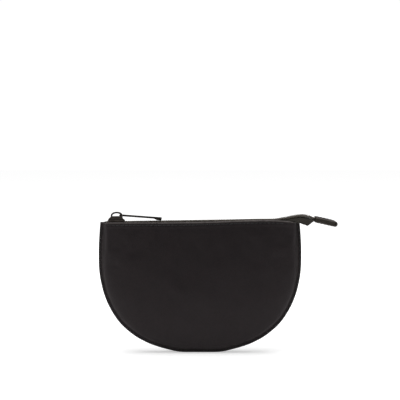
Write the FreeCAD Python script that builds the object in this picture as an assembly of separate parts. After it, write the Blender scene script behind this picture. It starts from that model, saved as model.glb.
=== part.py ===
import FreeCAD, Part

import math
import os

# Half-moon leather coin purse with a coil zip along its straight top edge and a
# loose zip tail that runs past one corner into a folded leather end tab.
#
# Frame: millimetres, +Z up, +X along the zip from the slider towards the tail,
# -Y is the front face. The origin is the middle of the flat under the purse.
# Front pieces are modelled, and back pieces are their mirror image in the XZ plane.

os.makedirs("parts", exist_ok=True)
V = FreeCAD.Vector

# ---------------------------------------------------------------- dimensions
# Panels. "Half" values are measured from the middle plane, y = 0.
SEAM_HALF = 1.60          # half thickness of the sewn seam round the curved edge
LEATHER_T = 1.15          # outer leather
LEATHER_IN = SEAM_HALF - LEATHER_T
FOOT_FILL = 0.40          # how far the front leather passes the middle plane at the foot
FOOT_FILL_Z = 0.05        # only the lowest row of the leather does so
SEAM_FLAT = 1.90          # width of the flat seam margin
STIFF_T = 0.70            # board behind each panel
STIFF_GAP = 0.32          # glue line between them
STIFF_INSET = 7.0         # its distance inside the edge
STIFF_DROP = 10.5         # its distance below the zip edge
LINING_T = 0.16
LINING_HALF = 0.28        # its outer face, inside the seam
LINING_INSET = 0.7
LINING_DROP = 3.8

# Bulge of the panels: heights, and the lengths over which they build up
SHOULDER = 2.6            # quick rise next to the seam
SHOULDER_L = 2.3
DOME = 7.6                # slow rise to the middle of the panel
DOME_L = 18.0
SEAM_EASE_L = 1.1         # softens the start of the rise
MOUTH_HALF = 6.0          # half gap between the two zip edges
MOUTH_L = 1.1
MOUTH_REACH = 22.0        # how far down the gap shapes the panel
CORNER_X = 72.1           # where the gap closes into the side seam

# Bulge of the lining, worked out from that of the panels
LINING_START = 0.2        # panel rise at which the lining starts to follow
LINING_BLEND = 2.0        # further rise over which it comes to follow fully
LINING_TUCK = 0.33        # share of the rise given up near the zip edge
LINING_TUCK_MAX = 3.0     # largest rise that the share is taken of
LINING_TUCK_L = 9.0
LINING_EASE_L = 2.4

# Panel grid
CURVE_STEP = 0.25         # fine spacing of points up the side
ROW_STEP_LOW = 2.5        # spacing of rows below ROW_STEP_Z
ROW_STEP_HIGH = 4.2
ROW_STEP_Z = 30
LIP_BLEND_Z = 62.0        # above this the rows bend to follow the zip edge
IN_SHARE = 0.62           # most of the half width that the steps in may take up

TAPE_T = 0.50
TAPE_IN = 1.65            # half gap between the two tapes, under the coil
TAPE_FREE_X = 56.0        # beyond this the tape lifts off the panels
COIL_H = 1.90
COIL_LO = 0.17            # underside of the coil, above the tape
COIL_OUT = 2.90           # outer side of each row
COIL_SPINE = 2.0          # inner side of the bar that joins the loops
COIL_TIP = 0.90           # how far the loops pass the middle plane
COIL_PITCH = 1.50
COIL_STRAIGHT = (-64.2, 49.6)
LOOP_W = 0.66             # in the straight run
LOOP_TAPER = 0.06         # taken off each side of a loop at its tip
LOOP_W_RISE = 0.60        # single loops up to the corner
LOOP_W_TAIL = 0.58        # single loops on the tail

THREAD_W = 0.50
THREAD_T = THREAD_W * 0.8
THREAD_SINK = 0.12
STITCH_PITCH = 3.10
STITCH_LEN = 2.35
STITCH_IN = 1.25          # seam stitch line, inside the outer edge
STITCH_END_Z = 94.2       # top of the seam stitch line
TOPSTITCH_DROP = 2.1      # zip stitch line, below the zip edge

# Slider. Heights are above the top face of the tape.
SLIDER_X = -62.55
SLIDER_LEN = 12.9
SLIDER_W = 8.4
GAP_UP = 2.05             # underside of the top plate
GAP_DN = -0.65            # top of the bottom plate
PLATE_T = 1.30
FOOT_T = 1.00             # bottom plate
BOSS_W = 3.6
BOSS_TOP_W = 2.1
BOSS_TOP = 5.70
BOSS_STEP = 4.60
CROWN_X = 0.45            # crown centre, from the slider centre
CROWN_LEN = 8.8
CROWN_TOP = 8.90
CROWN_BAR = 1.15          # thickness of the crown at its feet
CROWN_BAR_TOP = 1.08      # and at its top
CROWN_W = 1.8
PIVOT_DX = 2.88           # puller bar, from the slider centre
PIVOT_DZ = 6.36           # and above the tape
BAR_R = 0.45
PULL_LEN = 31.0
PULL_W = 4.5
PULL_T = 1.15
PULL_DROOP = 4.2          # degrees
PULL_WINDOW = 10.6
ARM_IN = CROWN_W / 2 + 0.3
TOP_STOP_X = -69.7

NECK_X = 84.9             # end tab bend line
NECK_Z = 100.45
TAB_SLOPE = 12.0          # degrees
TAB_LEN = 16.8
TAB_W = 13.4
TAB_HALF_T = 4.1 / 2
TAB_LEATHER = 1.15
TAB_SLOT = TAB_HALF_T - TAB_LEATHER     # half height of the space inside the fold
TAB_CHAMFER = 0.25
TAB_STITCH_LEN = 1.9
TAB_STITCH_PITCH = 2.6
TAB_STITCH_X = 1.3        # first stitch, from the neck end
TAB_STITCH_Y = TAB_W / 2 - 1.4

FILLET = 0.25             # on the pull tab and the stops

# ---------------------------------------------------------------- tables
# Right half of the outline: (half width, height).
EDGE = [
    (11.0, 0.0), (15.0, 0.22), (19.0, 0.80), (22.8, 1.75), (27.5, 2.95), (31.7, 4.20),
    (37.4, 6.23), (42.2, 8.48), (46.4, 10.73), (49.8, 12.98), (55.4, 17.48), (59.9, 21.98),
    (63.3, 26.48), (66.1, 30.98), (68.5, 35.48), (70.4, 39.98), (72.0, 44.48), (73.2, 48.98),
    (74.2, 53.48), (74.95, 57.98), (75.4, 62.48), (75.6, 66.98), (75.65, 71.48), (75.6, 78.23),
    (75.4, 82.73), (75.1, 87.23), (74.75, 91.73), (74.3, 96.3),
]
TOP_HALF, TOP_Z = EDGE[-1]

# Zip edge of the panels: (x, height).
LIP = [
    (-74.3, 97.8), (-70.0, 98.0), (-60.0, 98.05), (-30.0, 98.05), (-10.0, 98.25), (10.0, 98.7),
    (25.0, 99.3), (40.0, 99.7), (52.0, 99.75), (60.0, 99.5), (66.0, 98.9), (71.0, 98.3),
    (74.3, 97.7),
]

# Top face of the zip tape: a straight slope, then (x, height) over the corner and tail.
TAPE_Z0, TAPE_SLOPE = 97.44, 0.0146
TAPE_LEAD_X = 44.0        # point on the slope that steers the start of the curve
RISE = [
    (50.0, 98.17), (56.0, 98.45), (59.0, 98.9), (62.0, 99.5), (65.0, 100.1), (68.0, 100.7),
    (71.0, 101.25), (74.0, 101.65), (76.0, 101.8), (78.0, 101.65), (81.0, 101.0), (83.2, 100.25),
    (84.6, 99.8), (86.5, 99.4),
]
RISE_X = RISE[0][0]

# Distance in from the side, along each row, where the panel surface is set.
IN_STEPS = [0.0, 0.8, 1.6, 2.3, 2.9, 3.5, 4.2, 5.1, 6.3, 7.9, 10.0, 13.0, 17.0, 22.0, 27.0]
CENTRE_SHARES = (0.75, 0.5, 0.25)       # further points, as shares of the innermost x

# Centre line of the lifted tape, outside its inner edge: x, distances of three points
# from the middle plane, and their heights from the inner edge.
LIFTED = [
    (60.0, 4.7, 5.6, 5.75, -0.25, -1.7, -5.6),
    (63.0, 4.3, 5.3, 5.55, -0.7, -2.0, -4.2),
    (66.0, 4.0, 5.2, 5.7, -0.6, -1.2, -1.5),
    (69.0, 4.2, 5.9, 6.9, -0.6, -1.0, -1.35),
    (72.0, 4.4, 6.8, 8.5, -0.7, -1.3, -1.9),
    (74.3, 4.4, 7.0, 9.4, -0.8, -1.7, -2.7),
    (76.0, 4.4, 7.2, 9.9, -0.9, -2.2, -3.7),
    (78.0, 4.3, 7.2, 10.2, -1.0, -2.5, -4.5),
    (79.5, 4.2, 7.1, 10.2, -0.9, -2.4, -4.5),
    (81.0, 4.0, 6.7, 9.6, -0.6, -1.7, -3.1),
    (82.6, 3.9, 6.0, 8.2, -0.25, -0.7, -1.3),
    (83.8, 3.8, 5.4, 6.9, -0.1, -0.2, -0.35),
    (84.6, 3.7, 5.0, 6.3, -0.02, -0.04, -0.06),
]

# X of the tape sections, and of the points that set the zip stitch line.
ZIP_STATIONS = [-70.2, -69, -66, -60, -45, -30, -10, 10, 25, 40, 48, 56, 58, 60, 63, 66, 69, 72, 74.3]
TAIL_STATIONS = [74.7, 76, 78, 79.5, 81, 82.6, 83.8, 84.6]
TOPSTITCH_XS = [-68.5, -60, -45, -30, -15, 0, 15, 30, 45, 55, 62]


# ---------------------------------------------------------------- curves
def lerp(table, x):
    """Straight-line reading of an (x, y) table."""
    if x <= table[0][0]:
        return table[0][1]
    for (x0, y0), (x1, y1) in zip(table, table[1:]):
        if x <= x1:
            return y0 + (y1 - y0) * (x - x0) / (x1 - x0)
    return table[-1][1]


def slope_between(start, end):
    return (end[1] - start[1]) / (end[0] - start[0])


def smooth(table, x):
    """The table as a smooth curve, by Catmull-Rom."""
    last = len(table) - 1
    if x <= table[0][0]:
        return table[0][1]
    if x >= table[last][0]:
        return table[last][1]
    i = 0
    while x > table[i + 1][0]:
        i += 1
    x0, y0 = table[i]
    x1, y1 = table[i + 1]
    slope0 = slope_between(table[max(i - 1, 0)], table[i + 1])
    slope1 = slope_between(table[i], table[min(i + 2, last)])
    span = x1 - x0
    t = (x - x0) / span
    return (
        (2 * t**3 - 3 * t**2 + 1) * y0 + (t**3 - 2 * t**2 + t) * span * slope0
        + (3 * t**2 - 2 * t**3) * y1 + (t**3 - t**2) * span * slope1
    )


def straight_tape_z(x):
    return TAPE_Z0 + TAPE_SLOPE * x


def tape_z(x):
    """Height of the top face of the zip tape."""
    if x <= RISE_X:
        return straight_tape_z(x)
    return smooth([(TAPE_LEAD_X, straight_tape_z(TAPE_LEAD_X))] + RISE, x)


def lip_z(x):
    return smooth(LIP, x)


def spline(points):
    """A smooth edge in the XZ plane through (x, z) points."""
    curve = Part.BSplineCurve()
    curve.interpolate([V(x, 0, z) for x, z in points])
    return curve.toShape()


# ---------------------------------------------------------------- shape helpers
def polygon_face(points):
    return Part.Face(Part.makePolygon(points + points[:1]))


def flat_faces(p, q, r, t):
    """The quad p q r t as one plane face, or as two where its corners aren't in one plane."""
    normal = (q - p).cross(r - p)
    if normal.Length > 1e-9 and abs((t - p).dot(normal)) / normal.Length < 1e-7:
        return [polygon_face([p, q, r, t])]
    return [polygon_face([p, q, r]), polygon_face([p, r, t])]


def closed(faces):
    """The solid inside a closed set of faces."""
    shell = Part.Shell(faces)
    shell.sewShape()
    solid = Part.makeSolid(shell)
    if solid.Volume < 0:
        solid.reverse()
    return solid


def profile(points, width):
    """A side profile (x, z) as a bar of the given width about the XZ plane."""
    return polygon_face([V(x, -width / 2, z) for x, z in points]).extrude(V(0, width, 0))


def plan(points, z0, z1):
    """A plan outline (x, y) as a plate from z0 to z1."""
    return polygon_face([V(x, y, z0) for x, y in points]).extrude(V(0, 0, z1 - z0))


def mirrored(shape):
    return shape.mirror(V(0, 0, 0), V(0, 1, 0))


def place(shape, droop, x, z):
    """Tips the +X end down by droop degrees about the origin, then moves the shape."""
    shape.rotate(V(0, 0, 0), V(0, 1, 0), droop)
    shape.translate(V(x, 0, z))
    return shape


def on_zip(shape, x):
    """Moves a shape made about the tape's top face to its place on the straight zip."""
    return place(shape, -math.degrees(math.atan(TAPE_SLOPE)), x, straight_tape_z(x))


def on_tab(shape):
    """Places a shape made along +X from the neck, flat about z 0."""
    return place(shape, TAB_SLOPE, NECK_X + 0.75, NECK_Z - 0.15)


def save(name, shape):
    solids = shape.Solids
    out = solids[0] if len(solids) == 1 else Part.makeCompound(solids)
    out.exportStep("parts/%s.step" % name)


def save_pair(pattern, front):
    save(pattern % "front", front)
    save(pattern % "back", mirrored(front))


# ---------------------------------------------------------------- outline and bulge
def half_edge(inset):
    """Points up the right-hand edge, moved inwards by inset."""
    out = []
    for i, (half, z) in enumerate(EDGE):
        if i == 0:
            along_x, along_z = 1.0, 0.0
        else:
            before, after = EDGE[i - 1], EDGE[min(i + 1, len(EDGE) - 1)]
            along_x, along_z = after[0] - before[0], after[1] - before[1]
        length = math.hypot(along_x, along_z)
        out.append((half - inset * along_z / length, z + inset * along_x / length))
    return out


def half_width(points, z):
    """Half width at a height, from (half width, height) points."""
    return lerp([(height, half) for half, height in points], z)


FINE_EDGE = [(0.0, 0.0)] + [(p.x, p.z) for p in spline(EDGE).discretize(360)]


def edge_dist(x, z):
    """Distance inside the curved edge, negative outside it."""
    x = abs(x)
    top_half, top_z = FINE_EDGE[-1]
    if z > top_z:
        return top_half - x
    best, side = 1e9, 1.0
    for (x0, z0), (x1, z1) in zip(FINE_EDGE, FINE_EDGE[1:]):
        dx, dz = x1 - x0, z1 - z0
        t = ((x - x0) * dx + (z - z0) * dz) / (dx * dx + dz * dz)
        t = min(1.0, max(0.0, t))
        off_x, off_z = x - x0 - t * dx, z - z0 - t * dz
        square = off_x * off_x + off_z * off_z
        if square < best:
            best = square
            side = 1.0 if dx * off_z - dz * off_x > 0 else -1.0
    return side * math.sqrt(best)


def mouth(x):
    """Half gap between the zip edges."""
    inside = CORNER_X - abs(x)
    return MOUTH_HALF * (1 - math.exp(-inside / MOUTH_L)) if inside > 0 else 0.0


def dome(inside):
    return (SHOULDER * (1 - math.exp(-inside / SHOULDER_L))
            + DOME * (1 - math.exp(-inside / DOME_L)))


def below_lip(x, z):
    return max(0.0, lip_z(x) - z)


known_rises = {}


def rise(x, z):
    """How far the panel stands off the seam plane at a point."""
    key = (round(x, 3), round(z, 3))
    if key in known_rises:
        return known_rises[key]
    inside = edge_dist(x, z) - SEAM_FLAT
    if inside <= 0:
        height = 0.0
    else:
        pull = math.exp(-below_lip(x, z) / MOUTH_REACH)
        ease = 1 - math.exp(-((inside / SEAM_EASE_L) ** 2))
        height = (dome(inside) * (1 - pull) + mouth(x) * pull) * ease
    known_rises[key] = height
    return height


def lining_rise(x, z):
    panel = rise(x, z)
    past = panel - LINING_START
    if past < 0:
        height = 0.0
    elif past < LINING_BLEND:
        height = past ** 2 / (2 * LINING_BLEND)
    else:
        height = past - LINING_BLEND / 2
    near_lip = math.exp(-((below_lip(x, z) / LINING_TUCK_L) ** 4))
    height -= LINING_TUCK * min(panel, LINING_TUCK_MAX) * near_lip
    inside = max(0.0, edge_dist(x, z) - SEAM_FLAT)
    return max(height, 0.0) * (1 - math.exp(-((inside / LINING_EASE_L) ** 2)))


# ---------------------------------------------------------------- panels
def panel_rows(inset, drop):
    """Rows of (x, z) points across the outline, from the flat base to the zip edge."""
    edge = spline(half_edge(inset))
    top = TOP_Z - drop
    side = []
    since_row = math.inf
    for p in edge.discretize(int(edge.Length / CURVE_STEP)):
        since_row += CURVE_STEP
        if since_row >= (ROW_STEP_LOW if p.z < ROW_STEP_Z else ROW_STEP_HIGH):
            side.append((p.x, p.z))
            since_row = 0.0
    side = [p for p in side if p[1] < top - 2.0]
    side.append((half_width(half_edge(inset), top), top))
    reach = IN_STEPS[-1]
    out = []
    for half, z in side:
        right = [half - step / reach * min(reach, half * IN_SHARE) for step in IN_STEPS]
        innermost = right[-1]
        right += [innermost * share for share in CENTRE_SHARES]
        xs = [-x for x in right] + [0.0] + right[::-1]
        blend = max(0.0, (z - LIP_BLEND_Z) / (top - LIP_BLEND_Z)) ** 2
        out.append([(x, z + blend * (lip_z(x * TOP_HALF / half) - TOP_Z)) for x in xs])
    return out


def front_shell(outer_height, inner_height, inset, drop):
    """The space between two height fields, inside the outline, on the front side."""
    grid = panel_rows(inset, drop)
    outer = [[V(x, -outer_height(x, z), z) for x, z in row] for row in grid]
    inner = [[V(x, -inner_height(x, z), z) for x, z in row] for row in grid]
    last = len(grid[0]) - 1
    faces = []
    for i in range(len(grid) - 1):
        for j in range(last):
            for g in (outer, inner):
                faces += flat_faces(g[i][j], g[i][j + 1], g[i + 1][j + 1], g[i + 1][j])
        for j in (0, last):
            faces += flat_faces(outer[i][j], outer[i + 1][j], inner[i + 1][j], inner[i][j])
    for j in range(last):
        faces += flat_faces(outer[-1][j], outer[-1][j + 1], inner[-1][j + 1], inner[-1][j])
    faces.append(polygon_face(outer[0] + inner[0][::-1]))
    return closed(faces)


def raised(base, bulge=rise):
    """A height field: a bulge on top of a constant height."""
    return lambda x, z: base + bulge(x, z)


def front_panel():
    """The front leather fills the seam at the foot, so that one face carries the weight."""
    inner = raised(LEATHER_IN)
    return front_shell(
        raised(SEAM_HALF),
        lambda x, z: -FOOT_FILL if z < FOOT_FILL_Z else inner(x, z), 0.0, 0.0)


def back_panel():
    return mirrored(front_shell(raised(SEAM_HALF), raised(LEATHER_IN), 0.0, 0.0))


def stiffener():
    outer = LEATHER_IN - STIFF_GAP
    return front_shell(raised(outer), raised(outer - STIFF_T), STIFF_INSET, STIFF_DROP)


def lining():
    return front_shell(raised(LINING_HALF, lining_rise),
                       raised(LINING_HALF - LINING_T, lining_rise), LINING_INSET, LINING_DROP)


save("front_panel", front_panel())
save("back_panel", back_panel())
save_pair("%s_stiffener", stiffener())
save_pair("%s_lining", lining())


# ---------------------------------------------------------------- zip tapes
def strip_section(x, line):
    """A closed section of tape whose centre line is given as (outward y, z) points."""
    above, below = [], []
    last = len(line) - 1
    for i, (y, z) in enumerate(line):
        before, after = line[max(i - 1, 0)], line[min(i + 1, last)]
        if 0 < i < last:
            in_y, in_z = y - before[0], z - before[1]
            out_y, out_z = after[0] - y, after[1] - z
            in_len, out_len = math.hypot(in_y, in_z), math.hypot(out_y, out_z)
            along_y = in_y / in_len + out_y / out_len
            along_z = in_z / in_len + out_z / out_len
            mitre = math.hypot(along_y, along_z) / 2
        else:
            along_y, along_z = after[0] - before[0], after[1] - before[1]
            mitre = 1.0
        length = math.hypot(along_y, along_z)
        normal_y, normal_z = -along_z / length, along_y / length
        # The limit keeps the corner offset short at sharp bends.
        offset = TAPE_T / 2 / max(mitre, 0.6)
        above.append((y + normal_y * offset, z + normal_z * offset))
        below.append((y - normal_y * offset, z - normal_z * offset))
    return [V(x, -y, z) for y, z in above + below[::-1]]


def seated_line(x):
    """Centre line of the tape where it runs down inside the panel."""
    tape_mid = tape_z(x) - TAPE_T / 2
    gap = mouth(x)
    low = lip_z(x) - 7.5
    bend = tape_mid - 1.1
    return [
        (TAPE_IN, tape_mid),
        (min(gap, rise(x, bend)) - 0.90, tape_mid),
        (min(rise(x, bend), gap + 0.2) - 0.20, bend),
        (rise(x, low) - 0.20, low),
    ]


def lifted_line(x):
    """Centre line where the tape lifts out between the zip edges and hangs as a tent."""
    tape_mid = tape_z(x) - TAPE_T / 2
    (_, first_z), *rest = seated_line(TAPE_FREE_X)
    first = (TAPE_FREE_X, *[y for y, z in rest], *[z - first_z for y, z in rest])
    table = [first] + LIFTED
    values = [lerp([(row[0], row[k]) for row in table], x) for k in range(1, 7)]
    return [(TAPE_IN, tape_mid)] + [(values[i], tape_mid + values[i + 3]) for i in range(3)]


def tape(stations):
    rings = [strip_section(x, seated_line(x) if x <= TAPE_FREE_X else lifted_line(x))
             for x in stations]
    count = len(rings[0])
    faces = [polygon_face(ring) for ring in (rings[0], rings[-1])]
    for ring, following in zip(rings, rings[1:]):
        for i in range(count):
            j = (i + 1) % count
            faces += flat_faces(ring[i], ring[j], following[j], following[i])
    return closed(faces)


save_pair("%s_zip_tape", tape(ZIP_STATIONS))
save_pair("tail_tape_%s", tape(TAIL_STATIONS))


# ---------------------------------------------------------------- coil
def loop_places(start, end, phase):
    """X of the loops from start up to end."""
    k = math.ceil((start - phase) / COIL_PITCH)
    out = []
    while phase + k * COIL_PITCH < end:
        out.append(phase + k * COIL_PITCH)
        k += 1
    return out


def single_loop(x, width):
    """One loop of the front row, tilted to follow the tape."""
    box = Part.makeBox(width, COIL_OUT + COIL_TIP, COIL_H - COIL_LO,
                       V(-width / 2, -COIL_OUT, COIL_LO))
    dx = 0.4
    slope = math.degrees(math.atan2(tape_z(x + dx) - tape_z(x - dx), 2 * dx))
    return place(box, -slope, x, tape_z(x))


def comb(phase):
    """The straight run of the front row: a bar with a loop every pitch."""
    x0, x1 = COIL_STRAIGHT
    half = LOOP_W / 2
    tip = half - LOOP_TAPER
    points = [(x0, -COIL_OUT), (x0, -COIL_SPINE)]
    for x in loop_places(x0 + 0.4, x1 - 0.4, phase):
        points += [(x - half, -COIL_SPINE), (x - tip, COIL_TIP),
                   (x + tip, COIL_TIP), (x + half, -COIL_SPINE)]
    points += [(x1, -COIL_SPINE), (x1, -COIL_OUT)]
    return on_zip(plan(points, COIL_LO, COIL_H), 0)


def coil(phase):
    places = loop_places(COIL_STRAIGHT[1] + 0.5, 74.0, phase)
    return Part.makeCompound([comb(phase)] + [single_loop(x, LOOP_W_RISE) for x in places])


def tail_coil(phase):
    places = loop_places(75.1, 84.2, phase)
    return Part.makeCompound([single_loop(x, LOOP_W_TAIL) for x in places])


# The back row sits half a pitch along from the front row.
save("front_coil", coil(0.0))
save("back_coil", mirrored(coil(COIL_PITCH / 2)))
save("tail_coil_front", tail_coil(0.0))
save("tail_coil_back", mirrored(tail_coil(COIL_PITCH / 2)))


# ---------------------------------------------------------------- slider
def slider_body():
    """Two plates round the coil, with side walls, a wedge between them and a boss on top."""
    end = SLIDER_LEN / 2
    side = SLIDER_W / 2
    plate_top = GAP_UP + PLATE_T
    outline = [
        (-end, -side + 1.2), (-end + 1.2, -side), (-1.0, -side),
        (end - 0.9, -side + 0.30), (end, -side + 0.75),
        (end, side - 0.75), (end - 0.9, side - 0.30),
        (-1.0, side), (-end + 1.2, side), (-end, side - 1.2),
    ]
    top_plate = profile(
        [(-end, GAP_UP), (end - 0.1, GAP_UP), (end - 0.4, GAP_UP + 0.85), (end - 1.5, plate_top),
         (-end + 1.2, plate_top), (-end + 0.3, GAP_UP + 0.85)], SLIDER_W
    ).common(plan(outline, GAP_UP, plate_top))
    foot_low = GAP_DN - FOOT_T
    foot = profile(
        [(-end + 0.3, GAP_DN), (end - 0.3, GAP_DN), (end - 0.9, foot_low), (-end + 1.0, foot_low)],
        SLIDER_W - 0.4
    ).common(plan([(x, y * 0.95) for x, y in outline], foot_low, GAP_DN))

    # The channel through the walls is wider at the -X end.
    narrow = COIL_OUT + 0.12
    wide = narrow + 0.3
    channel = plan(
        [(-end - 1, -wide), (-1.0, -wide), (end - 0.9, -narrow), (end + 1, -narrow),
         (end + 1, narrow), (end - 0.9, narrow), (-1.0, wide), (-end - 1, wide)],
        0.3, GAP_UP + 0.01)
    walls = plan(outline, 0.35, GAP_UP).cut(channel)

    boss = profile(
        [(-end + 0.6, plate_top - 0.01), (end - 0.9, plate_top - 0.01), (end - 1.5, 3.9),
         (4.85, BOSS_STEP), (-4.9, BOSS_STEP), (-5.4, 4.1)], BOSS_W)
    boss_top = profile(
        [(-4.9, BOSS_STEP - 0.3), (4.85, BOSS_STEP - 0.3), (4.80, BOSS_TOP - 0.1),
         (4.6, BOSS_TOP), (-3.6, BOSS_TOP), (-4.1, BOSS_TOP - 0.25)], BOSS_TOP_W)
    wedge = plan(
        [(-end + 0.9, -1.5), (-3.4, -1.5), (-1.85, -0.4),
         (-1.85, 0.4), (-3.4, 1.5), (-end + 0.9, 1.5)], GAP_DN - 0.3, GAP_UP + 0.3)
    body = top_plate.fuse([foot, walls, boss, boss_top, wedge]).removeSplitter()
    return on_zip(body, SLIDER_X)


def arch(half, high, power, steps=18):
    """Half of a rounded oval standing on the boss, from its +X foot to its -X foot."""
    out = []
    for i in range(steps + 1):
        angle = math.pi * i / steps
        across, up = math.cos(angle), math.sin(angle)
        out.append((CROWN_X + half * math.copysign(abs(across) ** (2 / power), across),
                    BOSS_TOP + high * up ** (2 / power)))
    return out


def slider_crown():
    half, high = CROWN_LEN / 2, CROWN_TOP - BOSS_TOP
    outer = arch(half, high, 2.35)
    inner = arch(half - CROWN_BAR, high - CROWN_BAR_TOP, 2.1)
    crown = profile(outer + inner[::-1], CROWN_W)
    crown.translate(V(0, 0, 0.01))
    return on_zip(crown, SLIDER_X)


def pull_tab():
    """A strip with a window, a pivot bar at one end and a thicker bead at the other."""
    bar = Part.makeCylinder(BAR_R, PULL_W, V(0, -PULL_W / 2, 0), V(0, 1, 0))
    strip = Part.makeBox(PULL_LEN, PULL_W, PULL_T, V(0, -PULL_W / 2, -PULL_T / 2))
    window = Part.makeBox(PULL_WINDOW, 2 * ARM_IN, 4, V(0, -ARM_IN, -2))
    strip = strip.cut(window)
    strip = strip.makeFillet(FILLET, [e for e in strip.Edges if e.BoundBox.XLength > 15])
    bead = profile(
        [(PULL_LEN - 4.6, PULL_T / 2), (PULL_LEN, PULL_T / 2), (PULL_LEN + 0.2, 0),
         (PULL_LEN + 0.1, -1.25), (PULL_LEN - 0.4, -1.5), (PULL_LEN - 3.4, -1.48),
         (PULL_LEN - 3.9, -1.2), (PULL_LEN - 5.6, -PULL_T / 2), (PULL_LEN - 5.6, 0)], PULL_W)
    pull = strip.fuse([bar, bead]).removeSplitter()
    x = SLIDER_X + PIVOT_DX
    return place(pull, PULL_DROOP, x, straight_tape_z(x) + PIVOT_DZ)


def top_stop():
    stop = Part.makeBox(0.8, 1.35, 1.35, V(-0.4, -3.1, COIL_LO))
    stop = stop.makeFillet(FILLET, [e for e in stop.Edges if e.BoundBox.ZMax > 1.4])
    return on_zip(stop, TOP_STOP_X)


save("slider_body", slider_body())
save("slider_crown", slider_crown())
save("pull_tab", pull_tab())
save_pair("%s_top_stop", top_stop())


# ---------------------------------------------------------------- end tab
def fold_arc(radius, steps=8):
    """Half circle round the fold at the far end, from top to bottom."""
    angles = [math.pi * i / steps for i in range(steps + 1)]
    return [(TAB_LEN - TAB_HALF_T + radius * math.sin(a), radius * math.cos(a)) for a in angles]


def end_tab_leather():
    top, cut = TAB_HALF_T, TAB_CHAMFER
    ring = [(0, TAB_SLOT), (0, top - cut), (cut, top)] + fold_arc(top)
    ring += [(cut, -top), (0, -top + cut), (0, -TAB_SLOT)] + fold_arc(TAB_SLOT)[::-1]
    return on_tab(profile(ring, TAB_W))


def end_tape():
    """The end of the front tape, inside the fold."""
    return on_tab(Part.makeBox(TAB_LEN - TAB_HALF_T - 0.6, 3.3, 2 * TAB_SLOT - 0.1,
                               V(0.1, -6.3, -TAB_SLOT + 0.05)))


def bottom_stop():
    stop = Part.makeBox(2.4, 5.4, 1.15, V(1.2, -2.7, -0.28))
    return on_tab(stop.makeFillet(FILLET, [e for e in stop.Edges if e.BoundBox.ZMax > 0.8]))


save("end_tab_leather", end_tab_leather())
save_pair("end_tape_%s", end_tape())
save("bottom_stop", bottom_stop())


# ---------------------------------------------------------------- stitching
def thread(start, end, up):
    """One stitch lying on a surface from start to end, with up as the surface normal."""
    along = end - start
    length = along.Length
    along.normalize()
    side = up.cross(along)
    side.normalize()
    half, crest = THREAD_W / 2, THREAD_T - THREAD_SINK
    section = [(-half, -THREAD_SINK), (-half, THREAD_T * 0.45), (-half * 0.55, crest),
               (half * 0.55, crest), (half, THREAD_T * 0.45), (half, -THREAD_SINK)]
    ring = [start + side * across + up * high for across, high in section]
    return polygon_face(ring).extrude(along * length)


def run_stitches(edge, surface, normal):
    """Stitches along an edge in the XZ plane, moved out to the surface."""
    count = int(round(edge.Length / STITCH_PITCH))
    marks = edge.discretize(count * 2 + 1)
    out = []
    for i in range(count):
        middle = marks[2 * i + 1]
        along = marks[2 * i + 2] - marks[2 * i]
        along.normalize()
        reach = along * (STITCH_LEN / 2)
        out.append(thread(surface(middle - reach), surface(middle + reach), normal(middle)))
    return Part.makeCompound(out)


def seam_stitches():
    points = half_edge(STITCH_IN)
    right = [p for p in points if p[1] < 94.0]
    right.append((half_width(points, STITCH_END_Z), STITCH_END_Z))
    edge = spline([(-half, z) for half, z in reversed(right)] + right)
    return run_stitches(edge, lambda p: V(p.x, -SEAM_HALF, p.z), lambda p: V(0, -1, 0))


def panel_point(p):
    return V(p.x, -(SEAM_HALF + rise(p.x, p.z)), p.z)


def panel_normal(p):
    """Outward normal of the front panel, from the rise a little to each side."""
    step = 0.6
    across = V(2 * step, -(rise(p.x + step, p.z) - rise(p.x - step, p.z)), 0)
    upward = V(0, -(rise(p.x, p.z + step) - rise(p.x, p.z - step)), 2 * step)
    normal = across.cross(upward)
    normal.normalize()
    return normal


def zip_stitches():
    edge = spline([(x, lip_z(x) - TOPSTITCH_DROP) for x in TOPSTITCH_XS])
    return run_stitches(edge, panel_point, panel_normal)


def stitch_starts(first, limit):
    """Starts of the end tab's stitches that finish before the limit."""
    out = []
    while first + TAB_STITCH_LEN < limit:
        out.append(first)
        first += TAB_STITCH_PITCH
    return out


def end_tab_stitches():
    """On the top and bottom: a row along each side and one across the neck end."""
    row_y = TAB_STITCH_Y
    out = []
    for side in (1, -1):
        z, up = side * TAB_HALF_T, V(0, 0, side)
        for y in (-row_y, row_y):
            for x in stitch_starts(TAB_STITCH_X, TAB_LEN - 2.2):
                out.append(thread(V(x, y, z), V(x + TAB_STITCH_LEN, y, z), up))
        x = TAB_STITCH_X
        for y in stitch_starts(-row_y + 0.7, row_y - 0.3):
            out.append(thread(V(x, y, z), V(x, y + TAB_STITCH_LEN, z), up))
    return on_tab(Part.makeCompound(out))


save_pair("seam_stitches_%s", seam_stitches())
save_pair("zip_stitches_%s", zip_stitches())
save("end_tab_stitches", end_tab_stitches())
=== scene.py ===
"""A half-moon leather coin purse with a curved sewn edge and a zip along its top.

X runs along the zip and Z is up. The front faces -Y and the loose zip tail ends at +X.
Shapes are worked out in millimetres and made in metres.
"""
import math

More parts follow.
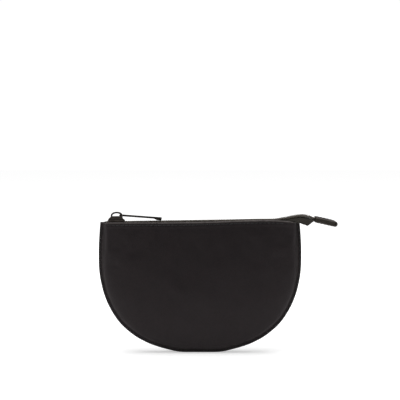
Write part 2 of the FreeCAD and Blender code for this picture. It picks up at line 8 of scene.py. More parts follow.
import bpy
import numpy as np
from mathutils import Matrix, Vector


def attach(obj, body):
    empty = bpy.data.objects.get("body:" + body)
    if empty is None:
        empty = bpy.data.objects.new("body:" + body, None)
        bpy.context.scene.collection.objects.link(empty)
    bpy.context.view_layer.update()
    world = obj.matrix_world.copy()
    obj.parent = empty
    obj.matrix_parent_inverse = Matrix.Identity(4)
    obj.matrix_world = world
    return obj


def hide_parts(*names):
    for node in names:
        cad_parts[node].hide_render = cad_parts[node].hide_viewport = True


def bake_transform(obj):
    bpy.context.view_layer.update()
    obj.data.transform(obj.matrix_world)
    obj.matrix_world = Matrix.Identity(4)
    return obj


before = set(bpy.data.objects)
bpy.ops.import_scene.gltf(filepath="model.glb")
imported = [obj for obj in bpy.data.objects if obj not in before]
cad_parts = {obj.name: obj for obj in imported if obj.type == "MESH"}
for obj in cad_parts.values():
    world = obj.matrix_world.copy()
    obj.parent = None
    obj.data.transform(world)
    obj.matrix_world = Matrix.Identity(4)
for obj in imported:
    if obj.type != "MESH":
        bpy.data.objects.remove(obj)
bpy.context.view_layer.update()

MM = 0.001
FACES = ((-1, "front"), (1, "back"))    # sign of Y, name
rng = np.random.default_rng(7)

# ------------------------------------------------------------------ sizes
SEAM_HALF = 1.60                        # half the purse's thickness at the sewn edge
SEAM_FLAT = 1.90                        # width of the flat band along that edge
LEATHER_T = 1.15
SHOULDER, SHOULDER_REACH = 2.6, 2.3     # quick swell beside the seam: height, reach
DOME, DOME_REACH = 7.6, 18.0            # slow swell of the body: height, reach
MOUTH_HALF, MOUTH_REACH = 6.0, 1.1      # half opening under the zip, reach of its corners
CORNER_X = 72.1                         # where the mouth closes
LIP_REACH = 22.0                        # how far down the mouth's shape is felt
TAPE_IN, TAPE_T = 1.65, 0.50            # inner edge of each zip tape, thickness
COIL_PITCH = 1.5
STITCH_PITCH, STITCH_LEN = 3.10, 2.35
STITCH_IN, TOP_DROP = 1.25, 2.1         # stitch lines from the curved edge and from the lip
TOP_X0, TOP_X1 = -68.5, 62.0            # ends of the stitch line below the lip
TAPE_Z0, TAPE_SLOPE = 97.44, 0.0146     # tape height at X = 0, and its slope
RISE_X = 50.0                           # where the tape leaves the straight slope
SHAPE_X = 56.0                          # where its cross-section leaves the purse's shape
TAIL_X, NECK_X, TAPE_END_X = 64.0, 80.6, 87.6   # starts of the tail and neck, end of the tape
TAB_X0, TAB_Z0, TAB_SLOPE = 85.65, 100.0, math.radians(12.0)
TAB_LEN, TAB_W, TAB_T, TAB_LEATHER = 16.8, 13.4, 4.1, 1.15
TAB_HALF = TAB_T / 2
TAB_FOLD_X = TAB_LEN - TAB_HALF         # where the strip starts to turn back
TAB_STITCH_IN = 1.4

# The curved edge on the +X side, from the bottom up: x, z
EDGE = np.array([
    (11.0, 0.0), (15.0, 0.22), (19.0, 0.80), (22.8, 1.75), (27.5, 2.95), (31.7, 4.20),
    (37.4, 6.23), (42.2, 8.48), (46.4, 10.73), (49.8, 12.98), (55.4, 17.48), (59.9, 21.98),
    (63.3, 26.48), (66.1, 30.98), (68.5, 35.48), (70.4, 39.98), (72.0, 44.48), (73.2, 48.98),
    (74.2, 53.48), (74.95, 57.98), (75.4, 62.48), (75.6, 66.98), (75.65, 71.48), (75.6, 78.23),
    (75.4, 82.73), (75.1, 87.23), (74.75, 91.73), (74.3, 96.3)])
EDGE_X, EDGE_TOP = EDGE[-1]
# The leather's top edge: x, z
LIP = np.array([
    (-74.3, 97.8), (-70.0, 98.0), (-60.0, 98.05), (-30.0, 98.05), (-10.0, 98.25), (10.0, 98.7),
    (25.0, 99.3), (40.0, 99.7), (52.0, 99.75), (60.0, 99.5), (66.0, 98.9), (71.0, 98.3),
    (74.3, 97.7)])
# The tape's top face beyond the straight slope: x, z
TAPE_RISE = np.array([
    (44.0, TAPE_Z0 + TAPE_SLOPE * 44.0),
    (50.0, 98.17), (56.0, 98.45), (59.0, 98.9), (62.0, 99.5), (65.0, 100.1), (68.0, 100.7),
    (71.0, 101.25), (74.0, 101.65), (76.0, 101.8), (78.0, 101.65), (81.0, 101.0),
    (83.2, 100.3), (84.6, 99.95), (86.5, 99.75), (88.5, 99.35)])


# ------------------------------------------------------------------ curves and fields
def cubic(left, right, slope_left, slope_right, width, t):
    return ((2 * t**3 - 3 * t**2 + 1) * left + (t**3 - 2 * t**2 + t) * width * slope_left
            + (3 * t**2 - 2 * t**3) * right + (t**3 - t**2) * width * slope_right)


def hermite(table, x):
    """Catmull-Rom through a table of (x, value), for an array of x."""
    px, py = np.asarray(table, float).T
    x = np.clip(np.asarray(x, float), px[0], px[-1])
    slope = np.empty(len(px))
    slope[1:-1] = (py[2:] - py[:-2]) / (px[2:] - px[:-2])
    slope[0] = (py[1] - py[0]) / (px[1] - px[0])
    slope[-1] = (py[-1] - py[-2]) / (px[-1] - px[-2])
    i = np.clip(np.searchsorted(px, x, side="right") - 1, 0, len(px) - 2)
    width = px[i + 1] - px[i]
    return cubic(py[i], py[i + 1], slope[i], slope[i + 1], width, (x - px[i]) / width)


def arc_length(points):
    return np.r_[0, np.cumsum(np.linalg.norm(np.diff(points, axis=0), axis=1))]


def through(points, count):
    """A smooth curve through 2-D points, as count points evenly spaced along it."""
    points = np.asarray(points, float)
    knots = arc_length(points)
    u = np.linspace(0, knots[-1], 4000)
    curve = np.stack([hermite(np.c_[knots, values], u) for values in points.T], 1)
    along = arc_length(curve)
    even = np.linspace(0, along[-1], count)
    return np.stack([np.interp(even, along, values) for values in curve.T], 1)


def unit(v):
    return v / np.linalg.norm(v, axis=-1, keepdims=True)


def smoothstep(a, b, x):
    t = np.clip((np.asarray(x, float) - a) / (b - a), 0, 1)
    return t * t * (3 - 2 * t)


def bell(offset, width, power=2):
    return np.exp(-((offset / width) ** power))


def approach(distance, reach):
    """Climbs from 0 towards 1."""
    return 1 - np.exp(-distance / reach)


def signed_power(v, exponent):
    return np.sign(v) * np.abs(v) ** exponent


def round_off(distance, radius):
    """How far a rounded edge drops at a distance in from the edge."""
    t = np.clip(radius - distance, 0, radius)
    return radius - np.sqrt(np.maximum(radius * radius - t * t, 0))


def waves(x, z, scale, seed, count=14):
    """Smooth seeded noise of about unit size."""
    random = np.random.default_rng(seed)
    out = np.zeros(np.shape(x))
    for _ in range(count):
        k = random.normal(size=2) / scale
        out += np.sin(k[0] * x + k[1] * z + random.uniform(0, 2 * math.pi))
    return out / math.sqrt(count / 2)


def tape_z(x):
    x = np.asarray(x, float)
    return np.where(x <= RISE_X, TAPE_Z0 + TAPE_SLOPE * x, hermite(TAPE_RISE, x))


def lip_z(x):
    return hermite(LIP, x)


def below_lip(x, z):
    return np.maximum(0.0, lip_z(x) - z)


OUTLINE = np.vstack([[0.0, 0.0], through(EDGE, 420)])


def edge_dist(x, z):
    """Distance in from the curved edge, negative outside it."""
    x, z = np.abs(np.asarray(x, float)), np.asarray(z, float)
    shape = x.shape
    x, z = x.ravel(), z.ravel()
    out = np.empty(len(x))
    start = OUTLINE[:-1]
    run = OUTLINE[1:] - start
    run_sq = (run**2).sum(1)
    batch = 4000
    for i in range(0, len(x), batch):
        dx, dz = x[i:i + batch, None] - start[:, 0], z[i:i + batch, None] - start[:, 1]
        t = np.clip((dx * run[:, 0] + dz * run[:, 1]) / run_sq, 0, 1)
        dx, dz = dx - t * run[:, 0], dz - t * run[:, 1]
        dist_sq = dx**2 + dz**2
        k = dist_sq.argmin(1)
        j = np.arange(len(k))
        cross = run[k, 0] * dz[j, k] - run[k, 1] * dx[j, k]
        out[i:i + batch] = np.where(cross > -1e-9, 1.0, -1.0) * np.sqrt(dist_sq[j, k])
    above = z > EDGE_TOP
    out[above] = EDGE_X - x[above]
    return out.reshape(shape)


def mouth(x):
    return MOUTH_HALF * approach(np.maximum(CORNER_X - np.abs(x), 0), MOUTH_REACH)


def rise(x, z, edge=None):
    """How far a leather face stands out beyond the seam's half thickness."""
    x, z = np.asarray(x, float), np.asarray(z, float)
    a = np.maximum((edge_dist(x, z) if edge is None else edge) - SEAM_FLAT, 0)
    lip = np.exp(-below_lip(x, z) / LIP_REACH)
    dome = SHOULDER * approach(a, SHOULDER_REACH) + DOME * approach(a, DOME_REACH)
    return (dome * (1 - lip) + mouth(x) * lip) * (1 - bell(a, 1.1))


# ------------------------------------------------------------------ meshes
def to_mesh(name, verts, faces, materials=(), slots=None):
    mesh = bpy.data.meshes.new(name)
    mesh.from_pydata((np.asarray(verts) * MM).tolist(), [], faces)
    mesh.update()
    ob = bpy.data.objects.new(name, mesh)
    bpy.context.scene.collection.objects.link(ob)
    for material in materials:
        mesh.materials.append(material)
    if slots is not None:
        mesh.polygons.foreach_set("material_index", np.asarray(slots, np.int32))
    mesh.polygons.foreach_set("use_smooth", [True] * len(mesh.polygons))
    return ob


def grid_faces(m, n, flip=False):
    i, j = np.meshgrid(np.arange(m - 1), np.arange(n - 1), indexing="ij")
    a = i * n + j
    quads = np.stack([a, a + n, a + n + 1, a + 1], -1).reshape(-1, 4)
    return quads[:, ::-1] if flip else quads


def ring_faces(rings, sides, flip=False):
    """Quads between rings of points, and a cap at each end."""
    faces = []
    for i in range(rings - 1):
        for j in range(sides):
            k = (j + 1) % sides
            quad = (i * sides + j, i * sides + k, (i + 1) * sides + k, (i + 1) * sides + j)
            faces.append(quad[:1] + quad[:0:-1] if flip else quad)
    first, last = tuple(range(sides)), tuple(range((rings - 1) * sides, rings * sides))
    return faces + ([first, last[::-1]] if flip else [first[::-1], last])


def shell(name, outer, inner, materials, flip=False):
    """A closed sheet from two grids. Three materials go on the outside, edges and inside."""
    m, n = outer.shape[:2]
    k = m * n
    outside, inside = grid_faces(m, n, flip), grid_faces(m, n, not flip) + k
    ring = np.r_[np.arange(n), n - 1 + n * np.arange(1, m),
                 (m - 1) * n + np.arange(n - 2, -1, -1), n * np.arange(m - 2, 0, -1)]
    following = np.roll(ring, -1)
    rim = np.stack([ring, following, following + k, ring + k], 1)
    if flip:
        rim = rim[:, ::-1]
    slots = np.repeat([0, 2, 1] if len(materials) == 3 else [0, 0, 0],
                      [len(outside), len(inside), len(rim)])
    return to_mesh(name, np.vstack([outer.reshape(-1, 3), inner.reshape(-1, 3)]),
                   np.vstack([outside, inside, rim]).tolist(), materials, slots)


class Bundle:
    """Collects several capped tubes into one piece."""
    def __init__(self):
        self.verts, self.faces, self.count = [], [], 0

    def tube(self, path, radius, sides=8, lobes=0, twist=0.0, up=(0.0, 0.0, 1.0)):
        path = np.asarray(path, float)
        n = len(path)
        t = np.gradient(path, axis=0)
        t /= np.linalg.norm(t, axis=1)[:, None] + 1e-12
        u = np.cross(np.broadcast_to(np.asarray(up, float), t.shape), t)
        # where the path runs along "up", any other direction will do
        parallel = np.linalg.norm(u, axis=1) < 1e-3
        u[parallel] = np.cross([1.0, 0.2, 0.1], t[parallel])
        u = unit(u)
        w = np.cross(t, u)
        phi = np.linspace(0, 2 * math.pi, sides, endpoint=False)
        turn = twist * arc_length(path)[:, None]
        ripple = 0.13 * np.cos(lobes * (phi - turn)) if lobes else 0.0
        r = np.broadcast_to(np.asarray(radius, float), (n,))[:, None] * (1 + ripple)
        verts = (path[:, None] + u[:, None] * (r * np.cos(phi))[..., None]
                 + w[:, None] * (r * np.sin(phi))[..., None]).reshape(-1, 3)
        self.verts.append(verts)
        self.faces += [tuple(i + self.count for i in f) for f in ring_faces(n, sides)]
        self.count += len(verts)

    def make(self, name, material):
        return to_mesh(name, np.vstack(self.verts), self.faces, [material])


def register(ob, follows="purse", node=None):
    """Parent the piece to the one part it moves with; a blend of two parts only has its
    transform baked. Hide the frame piece it replaces.
    """
    if isinstance(follows, str):
        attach(ob, follows)
    else:
        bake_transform(ob)
    if node:
        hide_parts(node)


def add_wear_and_highlight(ob, wear_and_highlight):
    """Store the wear and painted highlight mask on the outer grid of a shell, and none on the
    inner.
    """
    attribute = ob.data.attributes.new("wear_and_highlight", "FLOAT", "POINT")
    values = np.r_[wear_and_highlight.ravel(), np.zeros(wear_and_highlight.size)].astype(np.float32)
    attribute.data.foreach_set("value", values)


# ------------------------------------------------------------------ materials
# Lengths inside the shaders are in metres, and noise scales are per metre.
class Material:
    """A Principled material built node by node in object coordinates."""
    INPUTS = {"color": "Base Color", "rough": "Roughness", "metal": "Metallic",
              "normal": "Normal", "spec": "Specular IOR Level", "sheen": "Sheen Weight",
              "sheen_rough": "Sheen Roughness", "tint": "Specular Tint"}

    def __init__(self, name):
        self.material = bpy.data.materials.new(name)
        self.material.use_nodes = True
        self.tree = self.material.node_tree
        self.shader = self.tree.nodes["Principled BSDF"]
        self.coords = self.tree.nodes.new("ShaderNodeTexCoord").outputs["Object"]

    def plug(self, socket, value):
        if isinstance(value, bpy.types.NodeSocket):
            self.tree.links.new(value, socket)
        else:
            socket.default_value = value

    def node(self, kind, inputs=None, **props):
        node = self.tree.nodes.new("ShaderNode" + kind)
        for key, value in props.items():
            setattr(node, key, value)
        for key, value in (inputs or {}).items():
            self.plug(node.inputs[key], value)
        return node

    def noise(self, scale, detail=3.0, rough=0.55, vector=None):
        return self.node("TexNoise", {"Vector": vector or self.coords, "Scale": scale,
                                      "Detail": detail, "Roughness": rough}).outputs["Fac"]

    def cell_edges(self, scale, vector):
        return self.node("TexVoronoi", {"Vector": vector, "Scale": scale},
                         feature="DISTANCE_TO_EDGE").outputs["Distance"]

    def math(self, operation, a, b=0.0):
        return self.node("Math", {0: a, 1: b, 2: 0.0}, operation=operation).outputs[0]

    def add(self, a, b):
        return self.math("ADD", a, b)

    def sub(self, a, b):
        return self.math("SUBTRACT", a, b)

    def mul(self, a, b):
        return self.math("MULTIPLY", a, b)

    def sine(self, value, period):
        return self.math("SINE", self.mul(value, 2 * math.pi / period))

    def axes(self):
        out = self.node("SeparateXYZ", {0: self.coords}).outputs
        return out["X"], out["Y"], out["Z"]

    def ramp(self, value, low=0.3, high=0.7, to=(0.0, 1.0)):
        return self.node("MapRange", {"Value": value, "From Min": low, "From Max": high,
                                      "To Min": to[0], "To Max": to[1]}).outputs["Result"]

    def mix(self, factor, a, b):
        return self.node("Mix", {0: factor, 6: a, 7: b}, data_type="RGBA").outputs[2]

    def bump(self, height, strength, distance, normal=None):
        inputs = {"Height": height, "Strength": strength, "Distance": distance}
        if normal is not None:
            inputs["Normal"] = normal
        return self.node("Bump", inputs).outputs["Normal"]

    def finish(self, **values):
        for key, value in values.items():
            self.plug(self.shader.inputs[self.INPUTS[key]], value)
        return self.material


def srgb(*rgb):
    def linear(c):
        return c / 255 / 12.92 if c <= 10 else ((c / 255 + 0.055) / 1.055) ** 2.4
    return tuple(linear(c) for c in rgb) + (1.0,)


def shade(color, factor):
    return tuple(c * factor for c in color[:3]) + (1,)


def leather(name, dark, light):
    """Pebbled leather that pales where its wear_and_highlight attribute is high: real wear, and
    painted highlight.
    """
    mat = Material(name)
    jitter = mat.node("TexNoise", {"Vector": mat.coords, "Scale": 420.0, "Detail": 2.0})
    shift = mat.node("VectorMath", {0: jitter.outputs["Color"], "Scale": 0.0007},
                     operation="SCALE").outputs[0]
    warped = mat.node("VectorMath", {0: mat.coords, 1: shift}, operation="ADD").outputs[0]
    pebbles = mat.ramp(mat.cell_edges(1150.0, warped), low=0.0, high=0.22)
    fine = mat.ramp(mat.cell_edges(2600.0, warped), low=0.0, high=0.25)
    pores = mat.noise(scale=3600.0, detail=2.0)
    height = mat.add(mat.mul(pebbles, 0.62), mat.add(mat.mul(fine, 0.25), mat.mul(pores, 0.22)))
    cloud = mat.noise(scale=38.0, detail=4.0, rough=0.6)
    mottle = mat.noise(scale=160.0, detail=3.0, rough=0.6)
    creases = mat.sub(1.0, pebbles)

    tone = mat.add(mat.mul(cloud, 0.6), mat.mul(mottle, 0.4))
    color = mat.mix(mat.ramp(tone, low=0.32, high=0.68), dark, light)
    color = mat.mix(mat.mul(creases, 0.35), color, shade(dark, 0.45))
    wear_and_highlight = mat.node("Attribute", attribute_name="wear_and_highlight").outputs["Fac"]
    # pale colour for real wear and for painted highlight
    wear_and_highlight_color = (light[0] * 11.5, light[0] * 10.2, light[0] * 9.6, 1.0)
    patchy = mat.ramp(mottle, high=0.65, to=(0.35, 0.95))
    color = mat.mix(mat.mul(wear_and_highlight, patchy), color, wear_and_highlight_color)

    rough = mat.add(mat.ramp(cloud, to=(0.47, 0.59)), mat.mul(creases, 0.12))
    rough = mat.sub(rough, mat.mul(wear_and_highlight, 0.08))
    normal = mat.bump(mottle, strength=0.10, distance=0.0004)
    normal = mat.bump(height, strength=0.34, distance=0.00009, normal=normal)
    return mat.finish(color=color, rough=rough, normal=normal, spec=0.36,
                      tint=(1.0, 0.88, 0.91, 1.0))


def edge_paint(name, base, rough=0.42):
    mat = Material(name)
    streak = mat.noise(scale=420.0, detail=3.0, rough=0.6)
    ridge = mat.math("ABSOLUTE", mat.math("SINE", mat.mul(mat.axes()[1], 2300.0)))
    height = mat.add(streak, mat.mul(ridge, 0.35))
    return mat.finish(color=mat.mix(mat.ramp(streak), shade(base, 0.8), shade(base, 1.3)),
                      rough=mat.ramp(streak, to=(rough - 0.07, rough + 0.1)),
                      normal=mat.bump(height, strength=0.25, distance=0.00012), spec=0.45)


def woven(name, dark, light, sheen, pitch=0.34, spec=0.25):
    """A herringbone narrow weave running along X."""
    chevron, yarn_pitch = 2.2, 0.30
    mat = Material(name)
    x, y, z = mat.axes()
    across = mat.add(mat.math("ABSOLUTE", y), mat.mul(z, 0.9))
    band = mat.math("MODULO", mat.math("DIVIDE", across, chevron * MM), 2.0)
    zigzag = mat.math("ABSOLUTE", mat.sub(band, 1.0))
    along = mat.add(mat.math("DIVIDE", x, pitch * MM), mat.mul(zigzag, chevron / pitch))
    wave = mat.sine(along, period=1.0)
    yarn = mat.sine(across, period=yarn_pitch * MM)
    fuzz = mat.noise(scale=2600.0)
    height = mat.add(mat.mul(wave, 0.5), mat.add(mat.mul(yarn, 0.28), mat.mul(fuzz, 0.5)))
    return mat.finish(color=mat.mix(mat.ramp(height, low=-0.6, high=1.1), dark, light),
                      rough=mat.ramp(fuzz, to=(0.76, 0.90)),
                      normal=mat.bump(height, strength=0.55, distance=0.00012),
                      spec=spec, sheen=sheen, sheen_rough=0.4)


def twill(name, dark, light):
    mat = Material(name)
    x, _, z = mat.axes()
    wave = mat.sine(mat.add(x, z), period=0.7 * MM)
    yarn = mat.sine(x, period=0.35 * MM)
    fuzz = mat.noise(scale=1800.0)
    height = mat.add(mat.mul(wave, 0.5), mat.add(mat.mul(yarn, 0.3), fuzz))
    return mat.finish(color=mat.mix(mat.ramp(height, low=-0.3, high=1.4), dark, light),
                      normal=mat.bump(height, strength=0.45, distance=0.0001),
                      rough=0.85, spec=0.2, sheen=0.2)


def thread(name, dark, light):
    mat = Material(name)
    fibre = mat.noise(scale=5200.0, rough=0.7)
    soft = mat.noise(scale=700.0, detail=2.0)
    return mat.finish(color=mat.mix(mat.ramp(fibre, low=0.35, high=0.65), dark, light),
                      rough=mat.ramp(soft, to=(0.48, 0.66)),
                      normal=mat.bump(fibre, strength=0.4, distance=0.00006),
                      spec=0.4, sheen=0.15)


def nylon(name, base):
    mat = Material(name)
    grain = mat.noise(scale=900.0, detail=2.0)
    return mat.finish(color=mat.mix(mat.ramp(grain), shade(base, 0.8), shade(base, 1.35)),
                      rough=mat.ramp(grain, to=(0.8, 0.9)),
                      normal=mat.bump(grain, strength=0.12, distance=0.00005), spec=0.03)


def metal(name, base, rough):
    """Metal with fine brushing along X, pale spots and smudges."""
    mat = Material(name)
    stretched = mat.node("VectorMath", {0: mat.coords, 1: (90.0, 1500.0, 1500.0)},
                         operation="MULTIPLY").outputs[0]
    brush = mat.noise(scale=1.0, rough=0.6, vector=stretched)
    spots = mat.noise(scale=420.0, detail=4.0, rough=0.65)
    smudge = mat.noise(scale=110.0)
    smudged = mat.ramp(smudge, to=(rough - 0.05, rough + 0.12))
    return mat.finish(color=mat.mix(mat.ramp(spots, low=0.35), base, shade(base, 1.5)),
                      metal=1.0, rough=mat.add(smudged, mat.mul(brush, 0.06)),
                      normal=mat.bump(brush, strength=0.08, distance=0.00003))


def board(name, dark, light):
    mat = Material(name)
    fibres = mat.noise(scale=900.0, detail=5.0, rough=0.7)
    patches = mat.noise(scale=90.0)
    return mat.finish(color=mat.mix(fibres, dark, light),
                      rough=mat.ramp(patches, to=(0.8, 0.95)),
                      normal=mat.bump(fibres, strength=0.4, distance=0.00012), spec=0.15)


LEATHER = leather("black_leather", dark=srgb(15, 12, 13), light=srgb(26, 21, 22))
TAB_FACE = leather("tab_leather_face", dark=srgb(27, 24, 22), light=srgb(38, 34, 31))
EDGE_PAINT = edge_paint("painted_edge", base=srgb(22, 21, 21))
RAW_EDGE = edge_paint("raw_edge", base=srgb(64, 59, 52), rough=0.75)
FLESH = board("leather_flesh", dark=srgb(24, 22, 22), light=srgb(44, 40, 39))
TAB_FLESH = board("tab_flesh", dark=srgb(58, 52, 45), light=srgb(104, 96, 84))
TAPE = woven("zip_tape_weave", dark=srgb(28, 26, 23), light=srgb(62, 58, 53),
             sheen=0.03, spec=0.1)
FOLDED_TAPE = woven("folded_tape", dark=srgb(50, 46, 42), light=srgb(88, 82, 75), sheen=0.05)
LINING = twill("lining_twill", dark=srgb(26, 25, 26), light=srgb(52, 50, 51))
THREAD = thread("seam_thread", dark=srgb(10, 10, 11), light=srgb(30, 29, 30))
# the black nylon coil gets a pale grey base: painted sheen of the top light
COIL_PAINTED_SHEEN = nylon("zip_coil_nylon_painted_sheen", base=srgb(104, 98, 91))
CORD = woven("coil_filler_cord", dark=srgb(14, 13, 12), light=srgb(30, 28, 26),
             pitch=0.5, sheen=0.02, spec=0.08)
# one black nickel in two shades: the slider's and stops' lighter copy and the crown's and pull
# tab's darker copy differ by painted light and shade, not by plating
METAL = metal("black_nickel", base=srgb(78, 72, 68), rough=0.3)
BLACK_NICKEL_PAINTED_SHADE = metal("black_nickel_painted_shade", base=srgb(44, 40, 37), rough=0.34)
BOARD = board("fibre_board", dark=srgb(70, 52, 38), light=srgb(132, 104, 78))


# ------------------------------------------------------------------ stitch lines
def half_edge(inset):
    """The curved edge's points moved in by the inset."""
    t = np.empty_like(EDGE)
    t[1:-1] = EDGE[2:] - EDGE[:-2]
    t[0] = (1, 0)
    t[-1] = EDGE[-1] - EDGE[-2]
    return EDGE + inset * unit(t)[:, ::-1] * (-1, 1)


def seam_line(count):
    """The curved stitch line, from the -X end round to the +X end."""
    points = half_edge(STITCH_IN)
    end_z = 94.2
    end = [np.interp(end_z, points[:, 1], points[:, 0]), end_z]
    half = np.vstack([points[points[:, 1] < 94.0], end])
    return through(np.vstack([half[::-1] * (-1, 1), half]), count)


SEAM_LINE = seam_line(3000)
SEAM_COUNT = int(round(arc_length(SEAM_LINE)[-1] / STITCH_PITCH))
top_x = np.linspace(TOP_X0, TOP_X1, 3000)
TOP_COUNT = int(round(arc_length(np.c_[top_x, lip_z(top_x) - TOP_DROP])[-1] / STITCH_PITCH))


def groove(offset, angle, width, hole_depth):
    """A groove with needle holes, at an offset from its line; the angle turns once a stitch."""
    hole = 0.5 + 0.5 * np.cos(angle)
    return 0.10 * bell(offset, width) + hole_depth * hole**2 * bell(offset, 0.42)


def stitch_dent(x, z, edge):
    """Depth of the grooves and needle holes along the two stitch lines."""
    out = np.zeros(x.shape)
    near = (edge < STITCH_IN + 2.2) & (z < 95.8)
    points = np.c_[x[near], z[near]]
    index = np.empty(len(points))
    offset = np.empty(len(points))
    every, batch = 3, 3000
    for i in range(0, len(points), batch):
        gap = points[i:i + batch][:, None] - SEAM_LINE[None, ::every]
        dist_sq = (gap ** 2).sum(-1)
        nearest = dist_sq.argmin(1)
        index[i:i + batch] = nearest * every / (len(SEAM_LINE) - 1) * SEAM_COUNT
        offset[i:i + batch] = np.sqrt(dist_sq.min(1))
    out[near] = groove(offset, 2 * math.pi * index, width=0.55, hole_depth=0.17)
    u = (x - TOP_X0) / (TOP_X1 - TOP_X0)
    offset = np.abs(z - (lip_z(x) - TOP_DROP))
    on_line = smoothstep(-0.01, 0.0, u) * (1 - smoothstep(1.0, 1.01, u))
    angle = 2 * math.pi * u * TOP_COUNT
    return out + on_line * groove(offset, angle, width=0.6, hole_depth=0.15)


# ------------------------------------------------------------------ leather panels
def levels(total, step, coarse):
    """Distances from 0 past total, in steps that grow to the coarse step."""
    out = [0.0]
    while out[-1] < total:
        out.append(out[-1] + step)
        step = min(step * 1.22, coarse)
    return np.array(out)


def panel_grid(inset=0.0, drop=0.0, fine=0.05, coarse=0.62):
    """Rows of points across the outline, closely spaced at every edge.

    Gives X, Z, and each row's height and half width before the lip's shape is added."""
    low_band, high_band, side_band = 12.0, 10.0, 9.0    # widths with finer spacing
    border = half_edge(inset)
    top = EDGE_TOP - drop
    side = through(border, 3000)
    side = side[side[:, 1] <= top]
    side = np.vstack([side, [np.interp(top, border[:, 1], border[:, 0]), top]])
    low = side[0, 1] + levels(low_band, fine, coarse)
    high = top - levels(high_band, fine, coarse)
    mid = np.arange(low[-1] + coarse, high[-1] - coarse * 0.4, coarse)
    heights = np.r_[low, mid, high[::-1]]
    widths = np.interp(heights, side[:, 1], side[:, 0])
    near = levels(side_band, fine, coarse)
    count = int(2 * (75.6 - near[-1]) / (coarse * 1.15))
    middle = np.linspace(-1, 1, count)[1:-1]
    rows = []
    for w in widths:
        margin = near * min(1.0, w * 0.7 / near[-1])
        rows.append(np.r_[-(w - margin), middle * (w - margin[-1]), (w - margin)[::-1]])
    X = np.array(rows)
    follow = np.maximum(0.0, (heights - 62.0) / (top - 62.0)) ** 2
    lift = lip_z(X * EDGE_X / widths[:, None]) - EDGE_TOP
    return X, heights[:, None] + follow[:, None] * lift, heights, widths


def settle(side):
    """The panel's leather as cloth, sewn down all round and pushed out from inside.

    Gives the sheet's move off the plain shape at each point of a coarse grid."""
    last_frame = 20
    X, Z, heights, widths = panel_grid(fine=1.2, coarse=3.0)
    edge = edge_dist(X, Z)
    plain = rise(X, Z, edge)
    start = SEAM_HALF + 0.95 * plain
    ob = to_mesh("cloth_panel", np.stack([X, side * start, Z], -1).reshape(-1, 3),
                 grid_faces(*X.shape, side < 0).tolist())
    pin = ob.vertex_groups.new(name="sewn")
    held = np.maximum(1 - smoothstep(2.6, 4.6, edge), 1 - smoothstep(3.6, 6.5, below_lip(X, Z)))
    for i, weight in enumerate(held.ravel()):
        if weight > 0:
            pin.add([i], float(weight), "REPLACE")
    cloth = ob.modifiers.new("cloth", "CLOTH")
    settings = cloth.settings
    settings.vertex_group_mass = "sewn"
    settings.quality = 6
    settings.mass = 0.25
    settings.tension_stiffness = settings.compression_stiffness = 18.0
    settings.shear_stiffness = 9.0
    settings.bending_stiffness = 4.0
    settings.shrink_min = -0.006
    settings.use_pressure = True
    settings.uniform_pressure_force = 2.0
    settings.effector_weights.gravity = 0.0
    cloth.collision_settings.use_collision = False
    cloth.collision_settings.use_self_collision = False
    cloth.point_cache.frame_start, cloth.point_cache.frame_end = 1, last_frame
    scene = bpy.context.scene
    for number in range(1, last_frame + 1):
        scene.frame_set(number)
    settled = ob.evaluated_get(bpy.context.evaluated_depsgraph_get()).to_mesh()
    points = np.empty(len(settled.vertices) * 3)
    settled.vertices.foreach_get("co", points)
    points = points.reshape(X.shape + (3,)) / MM
    bpy.data.objects.remove(ob)
    scene.frame_set(1)
    move = side * points[..., 1] - SEAM_HALF - plain
    # outward moves level off at 1.5, inward ones at 0.22
    move = np.where(move > 0, 1.5 * np.tanh(move / 1.5), 0.22 * np.tanh(move / 0.22))
    return X / widths[:, None], heights, move


def spread(coarse, X, heights, widths):
    """The coarse moves as a smooth field on the fine grid."""
    across, levels_z, move = coarse
    out = np.zeros(X.shape)
    m = len(levels_z)
    for i, z in enumerate(heights):
        k = int(np.clip(np.searchsorted(levels_z, z, side="right") - 1, 0, m - 2))
        rows = [max(k - 1, 0), k, k + 1, min(k + 2, m - 1)]
        f = [hermite(np.c_[across[j], move[j]], X[i] / widths[i]) for j in rows]
        row_z = levels_z[rows]
        span = row_z[2] - row_z[1]
        t = float(np.clip((z - row_z[1]) / span, 0, 1))
        slope_low = (f[2] - f[0]) / max(row_z[2] - row_z[0], 1e-9)
        slope_high = (f[3] - f[1]) / max(row_z[3] - row_z[1], 1e-9)
        out[i] = cubic(f[1], f[2], slope_low, slope_high, span, t)
    return out


